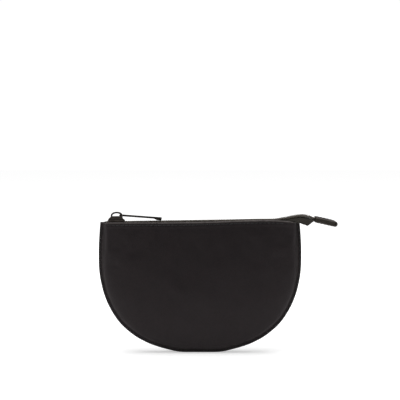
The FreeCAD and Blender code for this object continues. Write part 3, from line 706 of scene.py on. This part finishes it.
def panel(side, face, seed):
    X, Z, heights, widths = panel_grid()
    edge, below = edge_dist(X, Z), below_lip(X, Z)
    move = 0.0
    move = (spread(settle(side), X, heights, widths)
            * smoothstep(SEAM_FLAT, 3.4, edge) * smoothstep(2.8, 5.0, below))
    h = rise(X, Z, edge) + move
    # slow swells, and short puckers that fade away from the curved seam
    angle = np.arctan2(Z - 62.0, X)
    pucker = (np.sin(angle * 34 + 1.7 * np.sin(angle * 7 + seed))
              * bell(edge - 4.6, 2.6) * smoothstep(2.3, 3.6, edge))
    swell = 0.16 * waves(X, Z, 15.0, seed) + 0.06 * waves(X, Z, 5.5, seed + 1)
    relief = (smoothstep(3.0, 12.0, edge) * swell * (0.35 + 0.65 * smoothstep(0, 12, below))
              + 0.07 * pucker * (0.4 + 0.6 * smoothstep(0, 20, below)))
    # the turned zip edge stands a little proud of the leather below its stitches
    turned = 0.16 * (1 - smoothstep(2.6, 4.4, below)) * smoothstep(2.5, 5.0, edge)
    outer = SEAM_HALF + h + relief + turned - stitch_dent(X, Z, edge)
    outer = outer - round_off(edge, 0.5) - round_off(below, 0.85) * smoothstep(0.4, 2.0, edge)
    # the inner faces nearly meet at the seam
    gap = 0.06
    past_seam = np.maximum(edge - SEAM_FLAT, 0)
    inner = gap + h + (SEAM_HALF - LEATHER_T - gap) * smoothstep(0.0, 1.6, past_seam)
    inner = inner + round_off(below, 0.28) * smoothstep(3.5, 5.5, edge)
    outer = np.maximum(outer, inner + 0.08)
    ob = shell(face + "_leather", np.stack([X, side * outer, Z], -1),
               np.stack([X, side * inner, Z], -1), [LEATHER, EDGE_PAINT, FLESH], flip=side < 0)
    # painted highlight along the lip's rounded top and on the shoulders beside the curved seam;
    # real wear at the rim
    painted_lip_highlight = (0.62 + 0.33 * smoothstep(-45, 25, X)) * bell(below, 0.95, power=4)
    painted_shoulder_highlight = 0.15 * bell(edge - 3.0, 0.9) * smoothstep(0, 3, below)
    rim_wear = 0.2 * bell(edge, 0.45)
    add_wear_and_highlight(ob, np.maximum(np.maximum(painted_lip_highlight, painted_shoulder_highlight), rim_wear))
    register(ob, node=face + "_panel")


def lining(side, face, seed):
    """Thin cloth that follows the leather inside and is crumpled where it has room."""
    cloth_in, cloth_out = 0.13, 0.33
    X, Z, _, _ = panel_grid(inset=2.6, drop=3.8, fine=0.8, coarse=1.7)
    edge = edge_dist(X, Z)
    h = rise(X, Z, edge)
    s = np.where(h < 0.2, 0.0, np.where(h < 2.2, (h - 0.2) ** 2 / 4, h - 1.2))
    s = s - 0.33 * np.minimum(h, 3.0) * bell(below_lip(X, Z), 9.0, power=4)
    s = np.maximum(s, 0) * (1 - bell(np.maximum(edge - SEAM_FLAT, 0), 2.4))
    s = s - 0.18 * (1 + waves(X, Z, 7.0, seed)) * smoothstep(2.0, 5.0, s)
    ob = shell(face + "_lining_cloth", np.stack([X, side * (cloth_out + s), Z], -1),
               np.stack([X, side * (cloth_in + s), Z], -1), [LINING], flip=side < 0)
    register(ob, node=face + "_lining")


for (side, face), seed in zip(FACES, (11, 23)):
    panel(side, face, seed)
for (side, face), seed in zip(FACES, (3, 4)):
    lining(side, face, seed)


# ------------------------------------------------------------------ stitches
def stitch(threads, start, end, up, radius=0.27, sink=0.30, crown=0.17):
    """One twisted stitch, pulled down into the leather at both ends."""
    start, end, up = (np.asarray(v, float) for v in (start, end, up))
    t = np.linspace(0, 1, 13)
    arch = -sink + (sink + crown) * np.sin(math.pi * t) ** 0.45
    path = start + (end - start) * t[:, None] + up * arch[:, None]
    threads.tube(path, radius * (1 - 0.35 * np.abs(2 * t - 1) ** 5),
                 sides=9, lobes=3, twist=2.6, up=up)


def stitch_ends(marks, i, skew):
    """Middle and half-length offset of stitch i; skew turns it slightly off its line."""
    k = 2 * i + 1
    t = unit(marks[k + 1] - marks[k - 1])
    return marks[k], t * STITCH_LEN / 2 - np.array([t[1], -t[0]]) * skew


def seam_stitches(side, face):
    threads = Bundle()
    marks = seam_line(SEAM_COUNT * 2 + 1)
    y = side * (SEAM_HALF - 0.02)
    for i in range(SEAM_COUNT):
        middle, half = stitch_ends(marks, i, skew=0.10)
        stray = rng.normal(size=2) * 0.03
        p, q = middle - half + stray[0], middle + half + stray[1]
        stitch(threads, (p[0], y, p[1]), (q[0], y, q[1]), (0, side, 0))
    register(threads.make(face + "_seam_thread", THREAD),
             node="seam_stitches_" + face)


def zip_stitches(side, face):
    threads = Bundle()
    xs = TOP_X0 + np.linspace(0, 1, TOP_COUNT * 2 + 1) * (TOP_X1 - TOP_X0)
    marks = np.c_[xs, lip_z(xs) - TOP_DROP]
    reach = 0.6     # distance above and below at which the leather's slope is taken
    for i in range(TOP_COUNT):
        middle, half = stitch_ends(marks, i, skew=-0.08)
        p, q = middle - half, middle + half
        x, z = middle
        y = SEAM_HALF + rise(np.array([p[0], q[0], x, x]),
                             np.array([p[1], q[1], z - reach, z + reach])) + 0.12
        up = unit(np.array([0, 2 * reach, -(y[3] - y[2])])) * (1, side, 1)
        stitch(threads, (p[0], side * y[0], p[1]), (q[0], side * y[1], q[1]), up)
    register(threads.make(face + "_zip_thread", THREAD), node="zip_stitches_" + face)


# The two stitch lines lean the same way: each start is moved along the line's normal.
def stitch_ends(marks, i, skew):
    """Middle of stitch i, and the step from there to its end, turned slightly off the line."""
    k = 2 * i + 1
    t = unit(marks[k + 1] - marks[k - 1])
    return marks[k], t * STITCH_LEN / 2 - np.array([t[1], -t[0]]) * abs(skew)


for side, face in FACES:
    seam_stitches(side, face)
    zip_stitches(side, face)

# ------------------------------------------------------------------ zip tape
# Cross-section beyond SHAPE_X: x, Y of the three outer points, their Z from the centre line
TAIL_SECTIONS = np.array([
    (60.0, 4.7, 5.6, 5.75, -0.25, -1.7, -5.6),
    (63.0, 4.3, 5.3, 5.55, -0.7, -2.0, -4.2),
    (66.0, 4.0, 5.2, 5.7, -0.6, -1.2, -1.5),
    (69.0, 4.2, 5.9, 6.9, -0.7, -1.3, -1.65),
    (72.0, 4.4, 6.8, 8.5, -0.8, -1.8, -3.0),
    (74.3, 4.4, 7.0, 9.4, -0.9, -2.1, -3.8),
    (76.0, 4.4, 7.2, 9.9, -1.0, -2.5, -4.5),
    (78.0, 4.3, 7.2, 10.2, -1.1, -2.8, -5.1),
    (79.5, 4.2, 7.1, 10.2, -1.0, -2.7, -5.1),
    (81.0, 4.0, 6.7, 9.6, -0.8, -2.1, -3.9),
    (82.6, 3.9, 6.0, 8.0, -0.5, -1.3, -2.2),
    (83.8, 3.8, 5.4, 6.7, -0.3, -0.8, -1.3),
    (84.6, 3.7, 5.0, 6.1, -0.15, -0.45, -0.7),
    (86.2, 3.6, 4.9, 5.8, 0.0, 0.0, 0.0),
    (88.6, 3.6, 4.9, 5.8, 0.0, 0.0, 0.0)])


def tape_in_purse(x):
    """Y and Z of four points across the tape, the outer two just inside the leather."""
    centre_z = tape_z(x) - TAPE_T / 2
    half = mouth(x)
    bend_z, low_z = centre_z - 1.1, lip_z(x) - 7.5
    bend, low = rise(x, bend_z), rise(x, low_z)
    return (np.stack([np.full_like(x, TAPE_IN), np.minimum(half, bend) - 0.75,
                      np.minimum(bend, half + 0.2) - 0.05, low - 0.05], -1),
            np.stack([centre_z, centre_z, bend_z, low_z], -1))


def tape_points(x):
    """The same four points anywhere along the tape."""
    y_in, z_in = tape_in_purse(np.minimum(x, SHAPE_X))
    y_join, z_join = tape_in_purse(np.array([SHAPE_X]))
    join = np.r_[SHAPE_X, y_join[0, 1:], z_join[0, 1:] - z_join[0, 0]]
    table = np.vstack([join[None], TAIL_SECTIONS])
    tail = np.stack([hermite(table[:, [0, k]], x) for k in range(1, 7)], -1)
    inner = TAPE_IN - (TAPE_IN - 0.30) * smoothstep(58.0, 61.0, x)
    inside = x[:, None] <= SHAPE_X
    Y = np.where(inside, y_in, np.c_[inner, tail[:, :3]])
    Z = np.where(inside, z_in - z_in[:, :1], np.c_[np.zeros(len(x)), tail[:, 3:]])
    return Y, Z + (tape_z(x) - TAPE_T / 2)[:, None]


def tape_piece(name, x0, x1, side):
    across = 19
    xs = np.linspace(x0, x1, max(3, int((x1 - x0) / 0.5) + 1))
    s = np.linspace(0, 1, across)
    half = np.full((across, 1), TAPE_T / 2)
    half[[0, -1]] *= 0.65       # thinner at both edges
    upper, lower = [], []
    for x, y, z in zip(xs, *tape_points(xs)):
        centre = through(np.c_[y, z], across)
        t = unit(np.gradient(centre, axis=0))
        normal = np.c_[-t[:, 1], t[:, 0]]
        # the selvedge of the loose end is not quite straight
        loose = smoothstep(TAIL_X, 74, x) * s**2
        wobble = (0.10 * loose * math.sin(x * 1.9 + side)
                  + 0.05 * loose * math.sin(x * 4.7 + 2 * side))
        for grid, offset in ((upper, half), (lower, -half)):
            points = centre + normal * offset
            grid.append(np.c_[np.full(across, x), side * points[:, 0], points[:, 1] + wobble])
    return shell(name, np.array(upper), np.array(lower), [TAPE], flip=side > 0)


# ------------------------------------------------------------------ coil
THIN_X, THIN_SCALE = (60.0, 82.0, 85.2, 88.0), (1.0, 1.0, 0.72, 0.50)  # coil size along X
CORDS = ((1.62, 0.95), (0.98, 1.0), (0.36, 0.95))   # Y and height of the cords in the loops
HOLDING_Y = (2.15, 1.15)                            # threads that hold the loops to the tape


def coil_base(x):
    """Foot of the coil; it lies deeper in the tape where the loose tail is bent over."""
    deeper = smoothstep(59.0, 64.5, x) * (1 - smoothstep(80.0, 84.0, x))
    return tape_z(x) - (0.08 + 0.30 * deeper)


def coil_run(x0, x1, side, phase):
    """One row of the coil, a flattened helix whose loops cross the middle, and its cords."""
    loops, cords = Bundle(), Bundle()
    turn = np.linspace(0, 1, 22, endpoint=False)
    loop_y = signed_power(np.cos(2 * math.pi * turn), 0.62)
    loop_z = signed_power(np.sin(2 * math.pi * turn), 0.80)
    shift = 0.5 * np.where(turn < 0.5, smoothstep(0.0, 0.16, turn) - 1.0,
                           smoothstep(0.84, 1.0, turn))
    path = []
    for k in range(math.ceil((x0 - phase) / COIL_PITCH),
                   math.floor((x1 - phase) / COIL_PITCH) + 1):
        loop_x = phase + k * COIL_PITCH
        x = loop_x + COIL_PITCH * shift
        size = float(np.interp(loop_x, THIN_X, THIN_SCALE))
        y = 1.02 + 1.50 * loop_y if size == 1.0 else 0.9 + 1.3 * loop_y
        z = 0.98 * size + 0.58 * size * loop_z
        path.append(np.c_[x, side * y, coil_base(x) + z])
    path = np.vstack(path)
    loops.tube(path, 0.35)

    xs = np.linspace(x0 - 0.35, x1 + 0.35, int((x1 - x0) / 0.5) + 3)
    size = np.interp(xs, THIN_X, THIN_SCALE)
    for y, lift in CORDS:
        cords.tube(np.c_[xs, np.full_like(xs, side * y), coil_base(xs) + size * lift], 0.33)

    xs = np.arange(path[:, 0].min() + 0.3, path[:, 0].max() - 0.2, 0.125)
    size = np.interp(xs, THIN_X, THIN_SCALE)
    dip = np.abs(np.sin(math.pi * ((xs - phase) / COIL_PITCH))) ** 3
    z = tape_z(xs) + size * (1.93 - 0.62 * dip)
    for y in HOLDING_Y:
        loops.tube(np.c_[xs, np.full_like(xs, side * y), z], 0.13, sides=5)
    return loops, cords


def blend_along(first, second, x0, x1):
    return first, second, (x0 * MM, 0, 0.1), (x1 * MM, 0, 0.1)


TO_TAIL = blend_along("purse", "zip_tail", 68.5, 80.5)
TO_TAB = blend_along("zip_tail", "tail_tab", 82.2, 87.4)
# name, what it moves with, tape from and to, coil from and to, tape node, coil node
ZIP_PARTS = (
    ("", "purse", (-70.3, TAIL_X), (-69.3, TAIL_X), "{}_zip_tape", "{}_coil"),
    ("tail_", TO_TAIL, (TAIL_X, NECK_X), (TAIL_X, NECK_X), "tail_tape_{}", "tail_coil_{}"),
    ("neck_", TO_TAB, (NECK_X, TAPE_END_X), (NECK_X, 86.2), "end_tape_{}", ""))


def zip_side(side, face, phase):
    for part, follows, ends, _, node, _ in ZIP_PARTS:
        register(tape_piece(f"{face}_{part}tape", *ends, side), follows,
                 node.format(face))
    for part, follows, _, ends, _, node in ZIP_PARTS:
        loops, cords = coil_run(*ends, side, phase)
        row = loops.make(f"{face}_{part}coil_row", COIL_PAINTED_SHEEN)
        filler = cords.make(f"{face}_{part}coil_filler_cord", CORD)
        register(row, follows, node.format(face))
        register(filler, follows)


for (side, face), phase in zip(FACES, (0.0, COIL_PITCH / 2)):
    zip_side(side, face, phase)


# ------------------------------------------------------------------ end tab
def on_tab(points):
    """From the tab's own axes, with X along it, to the purse's, with a slight sag."""
    x, y, z = points[..., 0], points[..., 1], points[..., 2]
    z = z - 0.0016 * np.maximum(x - 4, 0) ** 2
    c, s = math.cos(TAB_SLOPE), math.sin(TAB_SLOPE)
    return np.stack([TAB_X0 + x * c + z * s, y, TAB_Z0 - x * s + z * c], -1)


def tab_puff(x, y):
    return (0.16 * np.sin(math.pi * np.clip(x / TAB_FOLD_X, 0, 1))
            * np.cos(y / TAB_W * math.pi))


def tab_path(radius):
    """X and Z round the strip: top layer, fold, bottom layer."""
    arc = np.linspace(0, math.pi, 21)[1:-1]
    top = np.c_[np.linspace(0, TAB_FOLD_X, 22), np.full(22, radius)]
    fold = np.c_[TAB_FOLD_X + radius * np.sin(arc), radius * np.cos(arc)]
    bottom = np.c_[np.linspace(TAB_FOLD_X, 0.35, 22), np.full(22, -radius)]
    return np.vstack([top, fold, bottom])


def tab_leather():
    edge_in = np.array([0.0, 0.05, 0.13, 0.25, 0.42, 0.7, 1.05, 1.4, 1.75, 2.2, 3.0, 4.0])
    half_w = TAB_W / 2
    ys = np.r_[-half_w + edge_in, np.linspace(-half_w + 5.0, half_w - 5.0, 5),
               (half_w - edge_in)[::-1]]
    from_edge = half_w - np.abs(ys)
    outer, inner = [], []
    for (x, z), (x_in, z_in) in zip(tab_path(TAB_HALF), tab_path(TAB_HALF - TAB_LEATHER)):
        out = -round_off(from_edge, 0.42)
        if x < TAB_FOLD_X - 0.01:
            groove_depth = 0.10 * bell(from_edge - TAB_STITCH_IN, 0.5)
            out = out - round_off(x, 0.35) - groove_depth + tab_puff(x, ys)
            normal = (0.0, np.sign(z))
        else:
            normal = ((x - TAB_FOLD_X) / TAB_HALF, z / TAB_HALF)
        outer.append(np.c_[x + out * normal[0], ys, z + out * normal[1]])
        inner.append(np.c_[np.full_like(ys, x_in), ys, np.full_like(ys, z_in)])
    outer, inner = np.array(outer), np.array(inner)
    ob = shell("end_tab_fold", on_tab(outer), on_tab(inner), [TAB_FACE, RAW_EDGE, TAB_FLESH])
    # the face pales along its two side edges
    add_wear_and_highlight(ob, np.broadcast_to(0.8 * bell(from_edge, 0.5), outer.shape[:2]))
    register(ob, "tail_tab", "end_tab_leather")


def tab_core():
    """The zip tape's end, folded back on itself between the leather layers."""
    half_t, end = TAB_HALF - TAB_LEATHER - 0.03, TAB_FOLD_X + 0.1
    xs = np.r_[0.35, 0.6, np.linspace(1.2, end - 0.5, 24), end]
    phi = np.linspace(0, 2 * math.pi, 72, endpoint=False)
    c = np.cos(phi)
    rings = []
    for i, x in enumerate(xs):
        thin = 0.80 if i in (0, len(xs) - 1) else 1.0
        half_w = TAB_W / 2 - 0.45 + 0.10 * math.sin(x * 1.3) + 0.05 * math.sin(x * 3.7)
        y = half_w * signed_power(c, 0.16)
        z = half_t * thin * signed_power(np.sin(phi), 0.30)
        # the folds between the tape's layers show at the sides
        fold = bell(np.abs(z) / half_t - 0.36, 0.12)
        y = y - np.sign(c) * 0.16 * fold * (np.abs(c) > 0.5)
        rings.append(np.c_[np.full_like(y, x), y, z])
    ob = to_mesh("end_tab_folded_tape", on_tab(np.array(rings)).reshape(-1, 3),
                 ring_faces(len(xs), len(phi), flip=True), [FOLDED_TAPE])
    register(ob, "tail_tab")


def tab_stitches():
    """Two rows along the tab and one across its open end, on both faces."""
    pitch, first_x = 2.6, 1.3
    row_y = TAB_W / 2 - TAB_STITCH_IN
    runs = [((x, y), (x + 1.95, y)) for y in (-row_y, row_y)
            for x in np.arange(first_x, TAB_LEN - 4.2, pitch)]
    runs += [((first_x, y), (first_x, y + 1.9))
             for y in np.arange(-row_y + 0.7, row_y - 2.2, pitch)]
    threads = Bundle()
    for side in (1, -1):
        up = np.array([math.sin(TAB_SLOPE), 0, math.cos(TAB_SLOPE)]) * side
        for run in runs:
            ends = [(x, y, side * (TAB_HALF - 0.06 + tab_puff(x, y))) for x, y in run]
            stitch(threads, *on_tab(np.array(ends)), up, radius=0.21, sink=0.26, crown=0.03)
    register(threads.make("end_tab_thread", THREAD), "tail_tab", "end_tab_stitches")


tab_leather()
tab_core()
tab_stitches()


# ------------------------------------------------------------------ metal and stiffeners
def dress(node, material, bevel=0.0, segments=3):
    """Give a frame piece its material and, if asked, soft edges."""
    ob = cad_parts[node]
    ob.data.materials.clear()
    ob.data.materials.append(material)
    if bevel:
        soft = ob.modifiers.new("soft_edges", "BEVEL")
        soft.width = bevel * MM
        soft.segments = segments
        soft.limit_method = "ANGLE"
        soft.angle_limit = math.radians(28)
        soft.harden_normals = True
        ob.data.polygons.foreach_set("use_smooth", [True] * len(ob.data.polygons))


dress("slider_body", METAL, bevel=0.28)
dress("slider_crown", BLACK_NICKEL_PAINTED_SHADE)
dress("pull_tab", BLACK_NICKEL_PAINTED_SHADE, bevel=0.12)
for node in ("front_top_stop", "back_top_stop", "bottom_stop"):
    dress(node, METAL, bevel=0.08, segments=2)
for node in ("front_stiffener", "back_stiffener"):
    dress(node, BOARD)


# ------------------------------------------------------------------ studio, in metres
def floor_material():
    """Glows to the camera, more so away from the purse, and faintly to everything else."""
    mat = Material("studio_floor")
    away = mat.node("VectorMath", {0: mat.coords}, operation="LENGTH").outputs["Value"]
    seen = mat.node("LightPath").outputs["Is Camera Ray"]
    shown = mat.mul(seen, mat.ramp(away, low=0.02, high=0.40, to=(0.48, 0.95)))
    bounce = mat.mul(mat.sub(1.0, seen), 0.22)
    mat.plug(mat.shader.inputs["Emission Color"], (1, 1, 1, 1))
    mat.plug(mat.shader.inputs["Emission Strength"], mat.add(shown, bounce))
    grey = mat.mix(mat.noise(scale=60.0), (0.84, 0.84, 0.84, 1), (0.88, 0.88, 0.88, 1))
    return mat.finish(color=grey, rough=0.9, spec=0.1)


def make_world():
    """White to the camera, almost dark as a light."""
    world = bpy.data.worlds.new("studio")
    bpy.context.scene.world = world
    world.use_nodes = True
    nodes, links = world.node_tree.nodes, world.node_tree.links
    background = nodes["Background"]
    background.inputs["Color"].default_value = (1, 1, 1, 1)
    path = nodes.new("ShaderNodeLightPath")
    strength = nodes.new("ShaderNodeMapRange")
    strength.inputs["To Min"].default_value = 0.03
    strength.inputs["To Max"].default_value = 1.02
    links.new(path.outputs["Is Camera Ray"], strength.inputs["Value"])
    links.new(strength.outputs["Result"], background.inputs["Strength"])


def aim(ob, location, target):
    ob.location = location
    ob.rotation_euler = (target - ob.location).to_track_quat("-Z", "Y").to_euler()


def softbox(name, location, size, power):
    light = bpy.data.lights.new(name, "AREA")
    light.shape = "RECTANGLE"
    light.size, light.size_y = size
    light.energy = power
    ob = bpy.data.objects.new(name, light)
    bpy.context.scene.collection.objects.link(ob)
    aim(ob, location, Vector((0, 0, 0.05)))


def make_camera():
    lens, sensor, view_width = 100.0, 36.0, 0.2982
    elevation = math.radians(3.5)
    centre = Vector((0.0, 0.0, 0.1143))
    data = bpy.data.cameras.new("camera")
    data.lens = lens
    data.sensor_width = sensor
    data.clip_start = 0.01
    ob = bpy.data.objects.new("camera", data)
    bpy.context.scene.collection.objects.link(ob)
    toward = Vector((0, -math.cos(elevation), math.sin(elevation)))
    aim(ob, centre + view_width * lens / sensor * toward, centre)
    bpy.context.scene.camera = ob


FLOOR_HALF = 4000.0
corners = np.array([(-1, -1, 0), (1, -1, 0), (1, 1, 0), (-1, 1, 0)]) * FLOOR_HALF
to_mesh("floor", corners, [(0, 1, 2, 3)], [floor_material()])
make_world()
softbox("top_softbox", location=(0.0, 0.0, 1.25), size=(1.5, 1.1), power=16.5)
softbox("left_softbox", location=(-1.15, -0.30, 0.35), size=(0.7, 0.7), power=3.4)
softbox("right_softbox", location=(1.15, -0.25, 0.40), size=(0.7, 0.7), power=2.2)
make_camera()
bpy.context.scene.view_settings.view_transform = "Standard"
